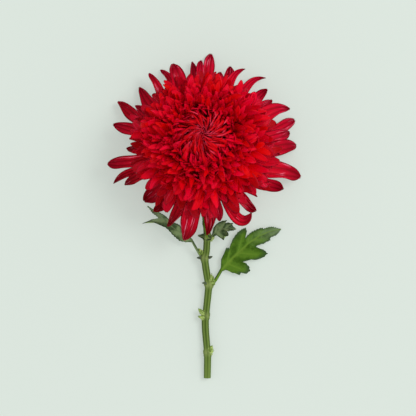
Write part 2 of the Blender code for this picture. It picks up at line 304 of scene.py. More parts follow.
def handles_of(root, leaving, first, tip, arriving, last):
    """Handles of a line with these directions at its ends, by their shares of its chord."""
    chord = (tip - root).length
    return root, root + leaving * first * chord, tip - arriving * last * chord, tip


def bezier(handles, t):
    a, b, c, d = (np.array(handle) for handle in handles)
    t = t[:, None]
    s = 1 - t
    return a * s**3 + b * 3 * s * s * t + c * 3 * s * t * t + d * t**3


def half_widths(t, width, taper):
    """A narrow claw, a broad blade, and a tip from blunt (0) to pointed (1)."""
    blade = 0.2 + 0.8 * smooth(0.05, 0.62, t)
    start = 0.78 - 0.28 * taper
    left = 1 - np.clip((t - start) / (1 - start), 0, 1) ** (2.6 - 1.2 * taper)
    return width / 2 * blade * np.maximum(0.2 - 0.12 * taper, left ** (0.5 + 0.2 * taper))


def blade(handles, facing, t, half, channel, tone, roll=0.0, curl=0.0, upright=False):
    """One blade's line: its points and what each carries.

    Facing is where the root faces. An upright blade goes on facing that way, and another one is
    carried along without twisting. Roll turns a blade about its line on the way to the tip, and
    curl bends its tip towards the side that it faces, both in degrees.
    """
    points = bezier(handles, t)
    ahead = unit(np.gradient(points, axis=0))
    face = np.empty_like(points)
    last = np.array(facing)
    for row, heading in enumerate(ahead):
        last = unit(last - heading * dot(last, heading))
        face[row] = last
        if upright:
            last = np.array(facing)
    turn = (radians(roll) * smooth(0.2, 1, t))[:, None]
    face = face * np.cos(turn) + np.cross(ahead, face) * np.sin(turn)
    bend = (radians(curl) * smooth(0.62, 1, t))[:, None]
    ahead, face = (
        ahead * np.cos(bend) + face * np.sin(bend),
        face * np.cos(bend) - ahead * np.sin(bend),
    )
    steps = np.linalg.norm(np.diff(points, axis=0), axis=1)[:, None]
    halfway = unit(ahead[1:] + ahead[:-1])
    points = points[0] + np.concatenate([np.zeros((1, 3)), np.cumsum(steps * halfway, axis=0)])
    return {
        "points": points,
        "across": np.cross(ahead, face),
        "face": face,
        "half": half,
        "channel": channel,
        "tone": np.full(len(t), tone),
    }


def grow(name, slot, node, blades, finish, cut):
    """One piece from several blades of the same number of rows, which stands for a solid."""
    mesh = bpy.data.meshes.new(name)
    mesh.from_pydata(np.concatenate([b["points"] for b in blades]).tolist(), [], [])
    for key, kind in BLADE_FIELDS:
        carry(mesh, key, np.concatenate([b[key] for b in blades]), kind)
    values = {"Rows": len(blades[0]["points"]), "Finish": finish, **cut}
    belongs(with_nodes(add_object(name, mesh), BLADES, values), slot, node)


def belongs(piece, slot, *nodes):
    """The piece stands for these solids: it hangs from the root body and hides them. Its slot is
    not used.
    """
    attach(piece, "root")
    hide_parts(*nodes)


# ---- places on the head


def head_point(azimuth, radius, height):
    """A point by its angle round the head's axis, its distance from it and its height."""
    return HEAD + (RIGHT * cos(azimuth) + UPPER * sin(azimuth)) * radius + FACE * height


def head_direction(azimuth, rise):
    """A direction by its angle round the head's axis and its rise in degrees."""
    rise = radians(rise)
    return head_point(azimuth, cos(rise), sin(rise)) - HEAD


def from_head(x, y, z):
    """A point given in mm from the head's centre, with its height above the surface."""
    return Vector((HEAD.x + x * MM, HEAD.y + y * MM, z * MM))


def seat_on_receptacle(azimuth, seat):
    """A point of the receptacle's skin. The seat is its angle up from the rim, in degrees."""
    depth = DOME_HEIGHT if seat >= 0 else BOWL_DEPTH
    seat = radians(seat)
    return head_point(azimuth, RECEPTACLE_RADIUS * cos(seat), depth * sin(seat))


def own_tone(number):
    """A tone from 0 to 1, far from those of the neighbours in the row."""
    return (number * GOLDEN_SHARE) % 1


# ---- finishes


def srgb(red, green, blue):
    """A colour as the eye reads it, 0 to 255, as the linear colour that a shader takes."""

    def linear(value):
        value /= 255
        return value / 12.92 if value <= 0.04045 else ((value + 0.055) / 1.055) ** 2.4

    return linear(red), linear(green), linear(blue), 1.0


def blend(factor, first, second):
    inputs = {0: factor, 6: first, 7: second}
    return place(factor.socket.id_data, "ShaderNodeMix", inputs, out=2, data_type="RGBA")


def attribute(tree, name):
    return place(tree, "ShaderNodeAttribute", out="Fac", attribute_name=name)


def noise(tree, at, scale, detail=2.0, roughness=0.5):
    inputs = {"Vector": at, "Scale": scale, "Detail": detail, "Roughness": roughness}
    return place(tree, "ShaderNodeTexNoise", inputs)


def blade_marks(tree, streaks, mottle_scale, grooves=0.0):
    """What a blade can show: fine streaks and broad grooves along it, its rim, tip and claw,
    which side is up, its tone, which on the outer florets is partly painted shade, and a mottle.
    """
    across, along, tone = (attribute(tree, name) for name in ("across", "along", "tone"))
    streak_at = vector(tree, across * streaks, along * 2.2, tone * 37)
    here = place(tree, "ShaderNodeTexCoord", out="Object")
    return {
        "streak": noise(tree, streak_at, 1.0, 3.0, 0.6),
        "groove": ramp((across * grooves * pi).maths("COSINE"), 0.2, -1.0),
        "rim": ramp(abs(across), 0.7, 1.0),
        "tip": ramp(along, 0.72, 1.0),
        "claw": ramp(along, 0.9, 0.4),
        "upper": attribute(tree, "upper"),
        "tone": tone,
        "mottle": noise(tree, here, mottle_scale),
    }


def layered(colour, *layers):
    """Lays each (cover, colour) over what is there."""
    for cover, over in layers:
        colour = blend(cover, colour, over)
    return colour


def relief(height, depth, strength):
    inputs = {"Height": height, "Distance": depth, "Strength": strength}
    return place(height.socket.id_data, "ShaderNodeBump", inputs)


def new_finish(name):
    """An empty material and its tree."""
    made = bpy.data.materials.new(name)
    made.use_nodes = True
    return made, made.node_tree


def complete(made, inputs):
    """Gives the material's shader its inputs."""
    shader = made.node_tree.nodes["Principled BSDF"]
    for key, value in inputs.items():
        plug(shader.inputs[key], value)
    return made


def petal_finish(name, grooves, strengths, *colours):
    """Velvety red, brightest at the claw, darker in its grooves, with pale painted highlights in
    patches.

    The strengths are those of the tip, the rim, the painted groove shade and the painted
    highlights. The colours are of light florets, dark ones, their backs, the claw, the tip, the rim
    and the painted highlights. The darkening in the grooves is painted shade. The claw's brighter
    red is partly its own colour and partly painted light that lifts the shade between the florets.
    The heart's pink tips and the pink rims of the inner florets are painted highlights.
    """
    at_tip, at_rim, painted_groove_shade, painted_highlighting = strengths
    light, dark, under, claw, tip, rim, painted_highlight = (srgb(*colour) for colour in colours)
    made, tree = new_finish(name)
    mark = blade_marks(tree, grooves * 3, 90.0, grooves)
    # On the outer florets the tone holds painted shade, darker on the side away from the lamp.
    shade = mark["tone"] * 0.55 + mark["mottle"] * 0.5
    front = blend(ramp(shade, 0.2, 0.85), dark, light)
    back = blend(ramp(shade, 0.1, 0.9), under, light)
    streaks = ramp(mark["streak"], 0.35, 0.7)
    # Painted highlights: pale pink streaks in patches, standing in for the gloss of the light on
    # the petals.
    painted_highlights = ramp(mark["streak"], 0.42, 0.32) * ramp(mark["mottle"], 0.45, 0.62)
    colour = layered(
        blend(mark["upper"], back, front),
        # The claw's brighter red is partly its own colour and partly painted light that lifts the
        # shade deep between the florets.
        (mark["claw"], claw),
        # The tip colour: darker on the outer rings, and on the heart a painted pink highlight.
        (mark["tip"] * ramp(mark["tone"], 0.2, 0.9) * at_tip, tip),
        # Painted shade: the grooves are darkened as if in their own shade.
        (mark["groove"] * painted_groove_shade, dark),
        # The rim colour: a dark margin on the outer florets, and on the inner florets a painted
        # pink highlight.
        (mark["rim"] * at_rim, rim),
        (streaks * 0.35, dark),
        (painted_highlights * painted_highlighting, painted_highlight),
    )
    inputs = {
        "Base Color": colour,
        "Roughness": streaks * 0.14 + 0.4,
        "Specular IOR Level": 0.05,
        "Sheen Weight": 0.15,
        "Sheen Roughness": 0.4,
        "Sheen Tint": srgb(255, 60, 90),
        "Normal": relief(mark["streak"], 0.3 * MM, 0.6),
    }
    return complete(made, inputs)


def green_blade_finish(name, light, dark):
    """Green of the bracts, the stipules, the scales of the buds and the receptacle."""
    light, dark = srgb(*light), srgb(*dark)
    made, tree = new_finish(name)
    mark = blade_marks(tree, 5.0, 300.0)
    shade = mark["tone"] * 0.4 + mark["mottle"] * 0.7
    colour = layered(blend(ramp(shade, 0.25, 0.85), dark, light), (mark["rim"] * 0.4, light))
    return complete(made, {"Base Color": colour, "Normal": relief(mark["streak"], 0.2 * MM, 0.6)})


def leaf_finish(name, *colours):
    """Leaf green, brighter in bands along the side veins, with a painted greyish sheen on its far
    half, a painted reflection of the sky.

    The colours are of light patches, dark ones, the veins, the underside and the margin.
    """
    light, dark, vein, under, edge = (srgb(*colour) for colour in colours)
    made, tree = new_finish(name)
    here = place(tree, "ShaderNodeTexCoord", out="Object")
    patches = noise(tree, here, 170.0, 4.0, 0.65)
    cells = {"Vector": here, "Scale": 900.0}
    net = place(tree, "ShaderNodeTexVoronoi", cells, feature="DISTANCE_TO_EDGE")
    veins, bands = attribute(tree, "vein"), attribute(tree, "band")
    front = layered(
        blend(ramp(patches + bands * 0.35, 0.4, 0.75), dark, light),
        (ramp(net, 0.1, 0.0) * 0.2, light),
        # Painted sheen: a greyish reflection of the sky, painted on the far half of the leaf.
        (ramp(attribute(tree, "far") + patches * 0.5, 0.8, 1.3) * 0.5, srgb(134, 152, 122)),
        (ramp(attribute(tree, "edge") + patches * 0.3, 0.85, 1.2), edge),
        (veins * 0.7, vein),
    )
    back = layered(blend(ramp(patches, 0.3, 0.7), under, light), (veins * 0.7, vein))
    inputs = {
        "Base Color": blend(attribute(tree, "upper"), back, front),
        "Roughness": patches * 0.2 + 0.4,
        "Specular IOR Level": 0.1,
        "Normal": relief(net * 0.5 + patches, 0.4 * MM, 0.5),
    }
    return complete(made, inputs)


def stem_finish():
    """Green, paler on the ribs, at the nodes and near the end, with pale pith where it is cut."""
    made, tree = new_finish("stem_green")
    around, down = attribute(tree, "round"), attribute(tree, "down")
    fibres = noise(tree, vector(tree, around * 34, down * 9, 0.0), 1.0, 4.0, 0.6)
    patches = noise(tree, place(tree, "ShaderNodeTexCoord", out="Object"), 70.0, 3.0)
    pale = srgb(118, 142, 66)
    colour = layered(
        blend(ramp(patches, 0.3, 0.7), srgb(50, 75, 4), srgb(64, 90, 16)),
        (attribute(tree, "rib") * 0.8, pale),
        (ramp(fibres, 0.35, 0.75) * 0.4, srgb(84, 96, 56)),
        (ramp(down, 0.8, 1.0) * 0.35, pale),
        (attribute(tree, "node") * patches * 0.8, srgb(150, 164, 100)),
        (attribute(tree, "cut"), srgb(196, 204, 150)),
    )
    inputs = {
        "Base Color": colour,
        "Specular IOR Level": 0.1,
        "Normal": relief(fibres, 0.3 * MM, 0.5),
    }
    return complete(made, inputs)


# ---- outer florets

# Anticlockwise round the head: angle of the tip in degrees, its reach from the head's centre
# and the width in mm, the sideways turn of the tip and the roll in degrees, how pointed the
# tip is from 0 to 1, how much higher than its row it ends, in mm, and how far the tip curls
# towards the floret's upper side, in degrees.
OUTER_FLORETS = (
    (0.5, 64.5, 11.0, 0, 10, 0.2, 0, 0),
    (8, 59.5, 10.0, 0, -10, 0.1, 2, 20),
    (16.3, 66.0, 8.5, 12, 20, 0.1, 2, 0),
    (23.5, 64.0, 12.0, -35, 10, 0.7, 1, 20),
    (34.5, 57.5, 8.4, 0, -15, 0.3, 0, 0),
    (42.8, 58.0, 7.5, 5, 20, 0.2, 0, 40),
    (49.2, 63.5, 7.0, -52, 25, 0.9, 0, 30),
    (62, 61.0, 7.0, -55, 20, 0.9, 1, 0),
    (70, 57.8, 8.5, 0, -10, 0.2, 0, 50),
    (78, 53.0, 8.0, 10, 10, 0.3, 0, 0),
    (85.8, 65.0, 8.5, -10, 0, 0.2, 0, 0),
    (92, 60.0, 6.5, -10, 15, 0.2, 0, 0),
    (97, 58.8, 8.2, 8, -20, 0.5, 0, 20),
    (113, 60.3, 12.6, 12, 15, 0.3, 1, 50),
    (119.5, 61.5, 6.5, 30, 10, 0.4, 0, 0),
    (126.8, 63.5, 7.2, -5, 20, 0.3, 2, 0),
    (137.8, 60.2, 12.5, -20, -10, 0.8, 0, 20),
    (149.5, 55.5, 7.0, 0, 10, 0.3, 0, 0),
    (155, 66.7, 9.5, 2, 20, 0.2, 0, 30),
    (166.7, 64.8, 8.8, 5, -15, 0.3, 1, 0),
    (181.3, 54.0, 9.0, -10, 20, 0.6, 3, 0),
    (191.5, 67.0, 10.0, -5, 0, 0.2, 0, 30),
    (202.3, 68.0, 6.8, 32, -20, 0.8, 1, 0),
    (206, 61.0, 8.3, 15, 10, 0.5, 0, 0),
    (225.3, 55.2, 11.5, 20, 20, 0.1, 2, 40),
    (231.5, 57.5, 8.6, -22, -20, 0.3, 0, 70),
    (245.4, 61.0, 10.2, -23, 15, 0.7, 0, 0),
    (258, 66.5, 13.6, -14, -10, 0.6, -1, 0),
    (273, 61.0, 11.3, -25, 15, 0.8, 0, 30),
    (282, 53.0, 8.0, 0, -10, 0.3, 0, 0),
    (303.8, 56, 8.5, 132, 25, 0.4, 2, 20),
    (309.5, 57.5, 8.5, 20, 20, 0.2, 2, 60),
    (316.5, 51.0, 4.5, 5, -10, 0.4, 3, 0),
    (333.3, 61.8, 9.2, 24, 30, 0.2, 2, 60),
    (342.4, 70.5, 15.0, -10, -10, 0.6, 1, 0),
    (354, 53.0, 6.5, 0, 15, 0.3, 0, 0),
)
# The two rows that they alternate between. Angles in degrees: the roots' seat on the receptacle,
# the first root's place round it, the rise at the root and at the tip. The droop is how far the
# tip hangs below the rim's plane, in mm, and how much less it hangs on the side nearest the
# surface and on the side over the stem.
LOW_ROW = {"seat": -25, "first": -12, "rise": -20, "tip": -30, "droop": (29, 14, 5)}
HIGH_ROW = {"seat": 0, "first": -2, "rise": 10, "tip": -20, "droop": (15, 8, 0)}
ROOT_STEP = 20
# The side of the head that the lamp lights most. Outer florets are painted darker the further they
# turn from it: painted shade, as if they were in the head's own shade.
PAINTED_LIGHT_SIDE = radians(50)
# How near the surface the middle of a tip may come, in mm.
LOWEST_TIP = 0.5
# A tip that turns further than this, in degrees, is a hook, and its bend needs a longer handle.
HOOKED = 60
# A floret that comes this near the surface is laid on it, with this much room for its thickness.
NEARLY_RESTING, ROOM_BELOW = 3.0 * MM, 0.5 * MM


def settle(strap):
    """Swings a floret's far end to the surface if it comes near it or goes under it."""
    flat = strap["points"][:, :2] - np.array(HEAD)[:2]
    share = (dot(flat, flat) / dot(flat, flat).max())[:, 0]
    below = np.abs(strap["across"][:, 2]) * strap["half"] + ROOM_BELOW
    heights = strap["points"][:, 2] - below
    if heights.min() < NEARLY_RESTING:
        strap["points"][:, 2] += share * (-heights / share).max()


def outer_floret(number, floret):
    """One strap-shaped floret of the two outer rows."""
    angle, reach, width, tip_turn, roll, taper, lift, curl = floret
    row = HIGH_ROW if number % 2 else LOW_ROW
    root_azimuth = radians(row["first"] + ROOT_STEP * (number // 2))
    root = seat_on_receptacle(root_azimuth, row["seat"])
    angle = radians(angle)
    droop, less_low, less_high = row["droop"]
    droop -= less_low * max(0, sin(angle)) + less_high * max(0, -sin(angle))
    rim_height = HEAD.z / MM - reach * sin(angle) * tan(LEAN)
    tip_height = max(LOWEST_TIP, rim_height - droop + lift)
    tip = from_head(reach * cos(angle), reach * sin(angle), tip_height)
    leaving = head_direction(root_azimuth, row["rise"])
    turned = angle + radians(tip_turn)
    arriving = Vector((cos(turned), sin(turned), tan(radians(row["tip"])))).normalized()
    hook = max(0, abs(tip_turn) - HOOKED)
    first, last = 0.42 - 0.0008 * hook, 0.28 + 0.0027 * hook
    handles = handles_of(root, leaving, first, tip, arriving, last)
    t = rows_along(OUTER_ROWS)
    half = half_widths(t, width * MM, taper)
    # The channel deepens above the claw and flattens towards the tip.
    channel = 0.12 + 0.55 * smooth(0.05, 0.45, t) - 0.2 * smooth(0.6, 1, t)
    # Painted shade: the tone, and with it the colour, is lower on florets turned away from the
    # lamp's side. The rest is the floret's own tone.
    tone = 0.35 + 0.35 * cos(angle - PAINTED_LIGHT_SIDE) + 0.3 * own_tone(number)
    strap = blade(handles, FACE, t, half, channel, tone, roll, curl, upright=True)
    settle(strap)
    name, node = f"strap_floret_{number + 1:02}", f"outer_floret_{number + 1:02}"
    grow(name, "petal", node, [strap], PETAL_CRIMSON, OUTER_CUT)


# ---- inner florets and bracts

# From the outermost inner floret (0) to the middle of the head (1), in mm and degrees: where the
# tip is from the head's axis and its rise there, the seat on the receptacle and the rise there,
# the handles of the line as shares of its chord, the width, how pointed the tip is, the half
# angle of the channel in radians, how far the tip is carried clockwise round the head, how far
# it then turns across the head, how far it curls up, and how uneven the florets are.
GOING_IN = (0.0, 0.08, 0.24, 0.42, 0.58, 0.7, 0.77, 0.84, 0.93, 1.0)
HABIT = {
    "tip radius": (52.3, 48, 41, 33, 25.5, 19, 14, 8, 3.5, 0.3),
    "tip height": (-8, 12, 27, 36, 41.5, 44.5, 45.5, 46, 46.5, 46.5),
    "tip rise": (-25, -5, 8, 25, 50, 95, 140, 170, 180, 160),
    "seat": (-10, 8, 24, 36, 48, 57, 64, 70, 78, 87),
    "rise": (0, 18, 36, 44, 50, 56, 60, 60, 66, 80),
    "first handle": (0.42, 0.42, 0.45, 0.48, 0.5, 0.5, 0.5, 0.5, 0.5, 0.5),
    "last handle": (0.33, 0.33, 0.33, 0.33, 0.35, 0.38, 0.46, 0.46, 0.42, 0.35),
    "width": (8.5, 7.6, 6.6, 6.0, 5.4, 4.6, 3.8, 3.2, 2.8, 2.6),
    "taper": (0.3, 0.3, 0.35, 0.4, 0.45, 0.5, 0.7, 0.85, 0.9, 0.9),
    "channel": (0.5, 0.55, 0.6, 0.6, 0.6, 0.65, 0.65, 0.6, 0.6, 0.7),
    "swirl": (2, 3, 5, 8, 11, 16, 24, 32, 45, 60),
    "turn": (0, 0, 0, 0, 0, 5, 30, 35, 45, 50),
    "curl": (10, 12, 12, 14, 18, 20, 5, 5, 5, 5),
    "unevenness": (0.8, 1.2, 1.3, 1.1, 0.9, 0.85, 0.9, 0.9, 0.9, 0.8),
}
# The most that a floret strays at an unevenness of 1. For the tip's radius, the width and the
# channel it is a share.
STRAY = {
    "swirl": 6, "tip radius": 0.07, "tip height": 2.0, "turn": 35, "tip rise": 35,
    "width": 0.18, "channel": 0.25, "roll": 35, "curl": 30,
}
# The heart is a little off the head's axis, on the stem's side.
HEART_OFFSET = 2.6 * MM
INNER_FLORETS = 1000
# How far in each whorl and the heart end.
RING_ENDS = (0.1, 0.24, 0.38, 0.52, 0.66, 0.78, 1.01)
RINGS = [f"floret_whorl_{number}" for number in range(1, len(RING_ENDS))] + ["floret_heart"]


def inner_floret(number, chance):
    """One floret of the crowded middle, placed by the golden angle."""
    inward = (number + 0.5) / INNER_FLORETS
    habit = {key: np.interp(inward, GOING_IN, values) for key, values in HABIT.items()}

    def stray(key):
        return chance.uniform(-STRAY[key], STRAY[key]) * habit["unevenness"]

    azimuth = number * GOLDEN_ANGLE
    tip_azimuth = azimuth - radians(habit["swirl"] + stray("swirl"))
    radius = habit["tip radius"] * (1 + stray("tip radius"))
    height = habit["tip height"] + stray("tip height")
    root = seat_on_receptacle(azimuth, habit["seat"])
    tip = head_point(tip_azimuth, radius * MM, height * MM)
    tip -= UPPER * HEART_OFFSET * smooth(0.4, 0.8, inward)
    leaving = head_direction(azimuth, habit["rise"])
    turned = tip_azimuth + radians(habit["turn"] + stray("turn"))
    arriving = head_direction(turned, habit["tip rise"] + stray("tip rise"))
    first, last = habit["first handle"], habit["last handle"]
    handles = handles_of(root, leaving, first, tip, arriving, last)
    facing = head_direction(azimuth, habit["rise"] + 90)
    t = rows_along(INNER_ROWS)
    width = habit["width"] * MM * (1 + stray("width"))
    half = half_widths(t, width, np.clip(habit["taper"] + chance.uniform(-0.2, 0.3), 0, 1))
    channel = habit["channel"] * (0.35 + 0.65 * smooth(0.1, 0.6, t)) * (1 + stray("channel"))
    roll, curl = stray("roll"), habit["curl"] + stray("curl")
    return inward, blade(handles, facing, t, half, channel, chance.uniform(0, 1), roll, curl)


def inner_florets():
    """The rings of inner florets, each standing for one solid whorl or for the heart."""
    chance = np.random.RandomState(5)
    placed = [inner_floret(number, chance) for number in range(INNER_FLORETS)]
    start = 0.0
    for ring, end in zip(RINGS, RING_ENDS):
        blades = [strap for inward, strap in placed if start <= inward < end]
        finish = {RINGS[0]: PETAL_RUBY, RINGS[-1]: PETAL_HEART}.get(ring, PETAL_SCARLET)
        grow(ring.replace("floret_", "florets_of_"), "petal", ring, blades, finish, INNER_CUT)
        start = end


# The bracts' two rows: the seat in degrees, and the tip's distance from the axis and height in mm.
# The rises are those of the root, of the tip and of the side that the root faces.
BRACTS = 26
BRACT_ROWS = ((-45, 13.0, -6.4), (-62, 14.0, -8.6))
BRACT_RISES = (-50, 12, 40)
BRACT_WIDTH = 4.2 * MM


def bracts():
    """Two rows of green bracts that hold the head from below, broadest at their feet."""
    blades = []
    for number in range(BRACTS):
        azimuth = number * 2 * pi / BRACTS
        seat, radius, height = BRACT_ROWS[number % 2]
        root = seat_on_receptacle(azimuth, seat)
        tip = head_point(azimuth, radius * MM, height * MM)
        leaving, arriving, facing = (head_direction(azimuth, rise) for rise in BRACT_RISES)
        handles = handles_of(root, leaving, 0.4, tip, arriving, 0.35)
        t = rows_along(SMALL_ROWS)
        half = half_widths(t, BRACT_WIDTH, 0.8) + 0.5 * MM * (1 - t)
        blades.append(blade(handles, facing, t, half, 0.25 + 0.5 * t, own_tone(number)))
    grow("bracts", "leaf", "involucre_bracts", blades, BRACT_GREEN, BRACT_CUT)


# ---- stem

# The stem's line from under the head to the cut end: where each point is from the head's centre
# and above the surface, and the stem's radius there, in mm. Leaves grew at the thicker points.
STEM_LINE = (
    (0.0, -3.6, 16.5, 2.5),
    (0.0, -9.5, 10.8, 2.4),
    (0.2, -20.0, 8.4, 2.3),
    (0.8, -40.0, 7.4, 2.3),
    (2.1, -60.0, 6.6, 2.3),
    (2.3, -63.5, 6.3, 2.8),
    (2.1, -66.5, 6.0, 2.3),
    (1.5, -74.0, 5.4, 2.3),
    (0.5, -77.7, 5.1, 2.8),
    (0.8, -81.0, 4.8, 2.4),
    (2.6, -92.5, 4.1, 2.4),
    (3.4, -96.5, 3.8, 2.8),
    (3.1, -100.0, 3.6, 2.4),
    (1.6, -114.5, 3.3, 2.3),
    (1.2, -118.2, 3.3, 2.7),
    (0.9, -121.5, 3.1, 2.4),
    (2.1, -140.3, 3.2, 2.3),
    (2.5, -143.8, 3.4, 2.7),
    (2.5, -147.2, 3.2, 2.4),
    (2.3, -161.7, 2.7, 2.3),
)
NODE_1, NODE_2, NODE_3 = 5, 8, 11
# The radii in mm between which the stem turns from plain to knobbly.
NODE_SWELL = (2.4, 2.7)
STEM_SIDES = 48
# How deep the feet of leaves and of stipules are in the stem, in mm.
LEAF_SINKS, STIPULE_SINKS = 0.4, 0.3


def stem_tree():
    """Sweeps a ribbed ring along a curve, with knobs at the nodes."""
    inputs = {"Ribs": "Int", "Rib depth": "Float", "Knobs": "Float"}
    tree, given = geometry_tree("Ribbed stem", inputs)
    line = keep(given["Geometry"], "down", place(tree, "SplineParameter"))
    swell = place(tree, "InputRadius")
    line = keep(line, "node", ramp(swell, *NODE_SWELL))
    ring = place(tree, "CurvePrimitiveCircle", {"Resolution": STEM_SIDES, "Radius": MM})
    around = place(tree, "SplineParameter")
    rib = (around * given["Ribs"] * (2 * pi)).maths("COSINE")
    ring = keep(ring, "round", around)
    ring = keep(ring, "rib", rib * 0.5 + 0.5)
    spot = place(tree, "InputPosition") * (rib * given["Rib depth"] + 1)
    ring = step(ring, "SetPosition", {"Position": spot})
    inputs = {"Profile Curve": ring, "Scale": swell, "Fill Caps": True}
    stem = step(line, "CurveToMesh", inputs)
    bumps = noise(tree, place(tree, "InputPosition"), 700.0)
    knobs = kept(tree, "node") * ramp(bumps, 0.4, 0.75) * given["Knobs"]
    stem = step(stem, "SetPosition", {"Offset": place(tree, "InputNormal") * knobs})
    # Only the caps have more than four corners.
    corners = place(tree, "InputMeshFaceNeighbors", out="Vertex Count")
    stem = keep(stem, "cut", corners > 4, domain="FACE")
    deliver(stem, given["Finish"])
    return tree


def stem_skin(node, side, sinks):
    """A point of the stem's skin at a node, towards the side, and sunk by so many mm."""
    *spot, radius = STEM_LINE[node]
    return from_head(*spot) + side * (radius - sinks) * MM


def stem():
    """The stem, from the receptacle's neck to the cut end."""
    points = [(HEAD - FACE * BOWL_DEPTH, NECK_RADIUS / MM)]
    points += [(from_head(*spot), radius) for *spot, radius in STEM_LINE]
    curve = bpy.data.curves.new("stalk", "CURVE")
    curve.dimensions = "3D"
    curve.resolution_u = 10
    spline = curve.splines.new("BEZIER")
    spline.bezier_points.add(len(points) - 1)
    for point, (spot, radius) in zip(spline.bezier_points, points):
        point.co = spot
        point.radius = radius
        point.handle_left_type = point.handle_right_type = "AUTO"
    values = {"Ribs": 6, "Rib depth": 0.06, "Knobs": 0.9 * MM, "Finish": STEM_GREEN}
    belongs(with_nodes(add_object("stalk", curve), stem_tree(), values), "stem", "stem")


def receptacle():
    """The domed disc that carries the florets. Its bowl is cut off at the neck."""
    arc = np.radians(np.arange(0, 90, 6))
    dome = [(RECEPTACLE_RADIUS * cos(a), DOME_HEIGHT * sin(a)) for a in arc[::-1]]
    bowl = [(RECEPTACLE_RADIUS * cos(a), -BOWL_DEPTH * sin(a)) for a in arc[1:-3]]
    profile = [(0, DOME_HEIGHT)] + dome + bowl + [(NECK_RADIUS, -BOWL_DEPTH), (0, -BOWL_DEPTH)]
    turns = [2 * pi * side / RECEPTACLE_SIDES for side in range(RECEPTACLE_SIDES)]
    sheet = bmesh.new()
    # Not bmesh.ops.spin, which gives the faces another order each run.
    rings = [
        [sheet.verts.new((radius * cos(turn), radius * sin(turn), height)) for turn in turns]
        for radius, height in profile
    ]
    for above, below in zip(rings, rings[1:]):
        for side in range(RECEPTACLE_SIDES):
            sheet.faces.new((above[side - 1], below[side - 1], below[side], above[side]))
    bmesh.ops.remove_doubles(sheet, verts=sheet.verts, dist=0.005 * MM)
    bmesh.ops.recalc_face_normals(sheet, faces=sheet.faces)
    sheet.transform(Matrix.Translation(HEAD) @ Matrix.Rotation(-LEAN, 4, "X"))
    belongs(solid("flower_base", sheet, RECEPTACLE_GREEN), "stem", "receptacle")


def solid(name, sheet, finish):
    """An object from a closed bmesh, shaded smooth."""
    mesh = bpy.data.meshes.new(name)
    sheet.to_mesh(mesh)
    sheet.free()
    mesh.shade_smooth()
    mesh.materials.append(finish)
    return add_object(name, mesh)


# ---- leaves

# A leaf: the names of the piece and of its solid, the node and the side of the stem that it grows
# from, its heading, rise and roll in degrees, how steeply its halves rise from the midrib and how
# deep its teeth are. Then its shape in its own plane, in mm: +x runs along it from its foot at
# (0, 0). The midrib is a line of points. Each margin is a list of (x where its side vein leaves
# the midrib, x, y), and the veins are where a strong side vein does, on each side. The stalk turns
# into the blade between two shares of the length. The curl is from where to where the right
# margin rolls up, and by how many degrees.
ON_RIGHT, ON_LEFT, ON_TOP = Vector((1, 0, 0)), Vector((-1, 0, 0)), Vector((0, 0, 1))
BROAD_LEAF = {
    "names": ("broad_leaf", "leaf_right"), "foot": (NODE_3, ON_RIGHT),
    "turns": (39, -2, 0), "fold": 0.1, "teeth": 0.9,
    "midrib": (
        (0, 0), (4.2, 1.1), (12.7, 4.3), (19, 5.2), (26, 5.8), (33, 6.5), (40, 6.5), (46, 6),
        (53, 4.4), (58, 2), (61.6, 0),
    ),
    "left": (
        (0, 0, 1), (4.2, 4, 2.4), (9, 11, 5.1), (10, 13, 6), (10.8, 15.8, 9.8), (11.8, 20, 12),
        (13, 24, 14), (15.5, 25.4, 12.3), (16.6, 27.8, 14), (18.5, 31.5, 16), (21.5, 36.5, 17.3),
        (25.5, 40.5, 17.2), (29, 43.2, 16.3), (30.8, 42.4, 14), (32, 40.4, 12.3), (33, 38.6, 11),
        (35, 41.5, 11.4), (38, 44.8, 11.4), (41.5, 48.2, 10.6), (44.5, 51.8, 9.4),
        (46.5, 52.6, 7.8), (50, 55.5, 6.8), (53.5, 58, 5.3), (57.5, 60.3, 2.4), (61.6, 61.7, 0),
    ),
    "right": (
        (0, 0, -0.9), (4.2, 4.5, 0.2), (10, 11.5, 2.9), (11.8, 13.8, 2.2), (12.4, 15.2, 0.7),
        (13, 16, -2.3), (13.6, 17.4, -3.8), (14.4, 18.8, -6.4), (15.2, 20.8, -6.2),
        (16, 22.8, -8.5), (17, 24.4, -9.2), (18.5, 26.9, -8.8), (20.5, 28, -5.8), (22, 27.7, -3),
        (23, 26.4, -1), (23.6, 28.5, -1.6), (24.4, 32.3, -3.6), (25.2, 34, -5.2),
        (26.2, 38, -7.2), (27.2, 40.5, -7.6), (29, 43.7, -7.4), (32, 43.5, -3.9),
        (34.5, 41.5, -0.8), (36.5, 40.4, 1.7), (38.5, 44, 0.8), (40.5, 46.4, -0.6),
        (42, 47.3, -0.3), (45, 50.8, -1.4), (47.5, 52.4, 0.1), (51, 56.2, -1.2), (56, 59.1, -0.9),
        (61.6, 61.7, -0.1),
    ),
    "veins": ((17, 28, 37, 46), (12.4, 17.5, 28, 43)), "stalk": (0.13, 0.2),
}
FOLDED_LEAF = {
    "names": ("folded_leaf", "leaf_left"), "foot": (NODE_2, ON_LEFT),
    "turns": (136, 3, -30), "fold": 0.25, "teeth": 0.6,
    "midrib": ((0, 0), (5, -1.7), (13.2, -4.4), (20, -3.2), (30, -1.6), (40, -0.9), (52, 0.3)),
    "left": (
        (0, 0, 0.6), (5, 5, -1.1), (12.5, 12.8, -3.7), (14, 15, -1.5), (18, 19.3, 1.8),
        (23, 25.3, 1.8), (28, 32.8, 1.6), (31, 37, 3), (34, 42.7, 5.5), (36, 46.3, 11),
        (38, 43.5, 4), (40, 40.8, 0.6), (45, 46, 1), (52, 52, 0.4),
    ),
    "right": (
        (0, 0, -0.9), (5, 5, -2.9), (12.5, 13.2, -5.8), (14, 16.6, -6.8), (18, 22, -7.8),
        (24, 27.5, -7.9), (28, 31, -5.9), (31, 34.4, -4.9), (37, 40, -4.8), (42, 43.9, -3.2),
        (47, 48, -1.6), (52, 52, 0.2),
    ),
    "veins": ((16, 24, 36), (16, 24, 33)), "stalk": (0.16, 0.27),
}
